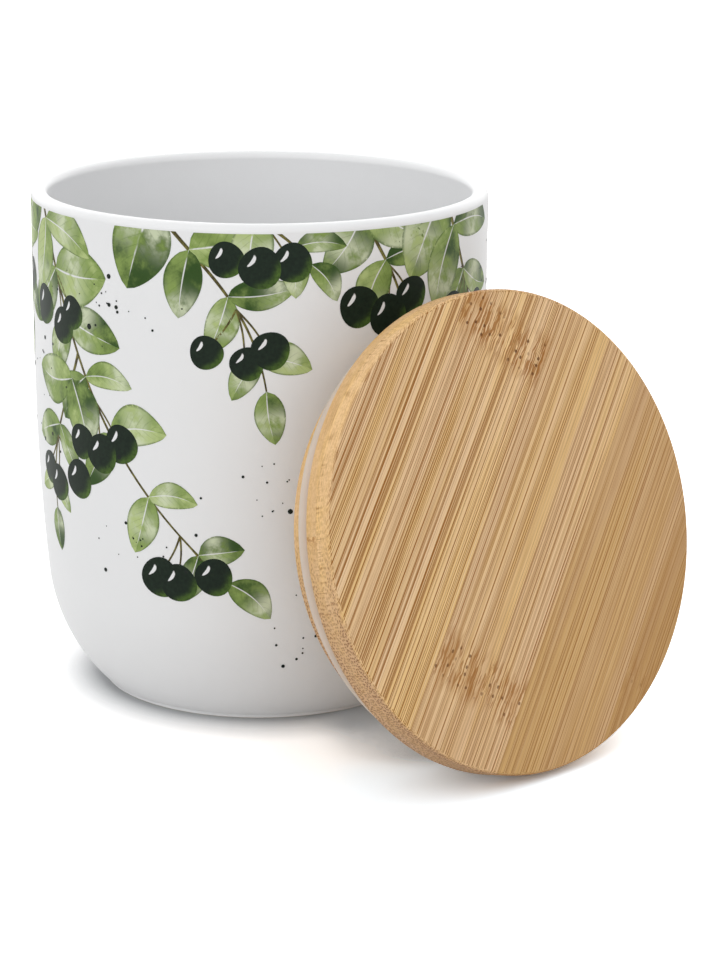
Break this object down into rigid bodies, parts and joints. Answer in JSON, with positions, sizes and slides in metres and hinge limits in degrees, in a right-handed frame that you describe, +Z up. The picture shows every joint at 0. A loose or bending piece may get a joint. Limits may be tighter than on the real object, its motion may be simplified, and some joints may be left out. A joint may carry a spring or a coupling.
{
  "type": "lidded storage jar",
  "caption": "Round porcelain storage jar with a rounded base on a foot ring; its thick bamboo lid with a silicone seal is off and leans on the jar.",
  "frame": {"origin": "middle of the jar's foot ring, on the table", "axes": "+Z up along the jar's axis, -Y to the jar's front, where the picture was taken from; the lid leans on the wall at the front right"},
  "size_m": [0.1559, 0.1582, 0.122],
  "materials": {
    "porcelain": "white porcelain under a satin glaze, with a printed decoration of leaves and fruit; the foot ring's lower face is unglazed",
    "bamboo": "laminated bamboo, sanded and oiled, satin",
    "silicone": "translucent whitish silicone rubber, satin"
  },
  "bodies": {
    "jar": {"jar_body": "porcelain"},
    "lid": {"lid_seal": "silicone", "lid_back_lamella_1": "bamboo", "lid_back_lamella_2": "bamboo", "lid_back_lamella_3": "bamboo", "lid_back_lamella_4": "bamboo", "lid_back_lamella_5": "bamboo", "lid_face_lamella_1": "bamboo", "lid_face_lamella_2": "bamboo", "lid_face_lamella_3": "bamboo", "lid_face_lamella_4": "bamboo", "lid_face_lamella_5": "bamboo", "plug_lower_lamella_1": "bamboo", "plug_lower_lamella_2": "bamboo", "plug_lower_lamella_3": "bamboo", "plug_lower_lamella_4": "bamboo", "plug_middle_lamella_1": "bamboo", "plug_middle_lamella_2": "bamboo", "plug_middle_lamella_3": "bamboo", "plug_middle_lamella_4": "bamboo", "plug_middle_lamella_5": "bamboo", "plug_upper_lamella_1": "bamboo", "plug_upper_lamella_2": "bamboo", "plug_upper_lamella_3": "bamboo", "plug_upper_lamella_4": "bamboo"}
  },
  "joints": [
    {"name": "lid_lift", "type": "slide", "parent": "jar", "child": "lid", "axis": [0, 0, 1], "range_m": [0, 0.13]}
  ]
}
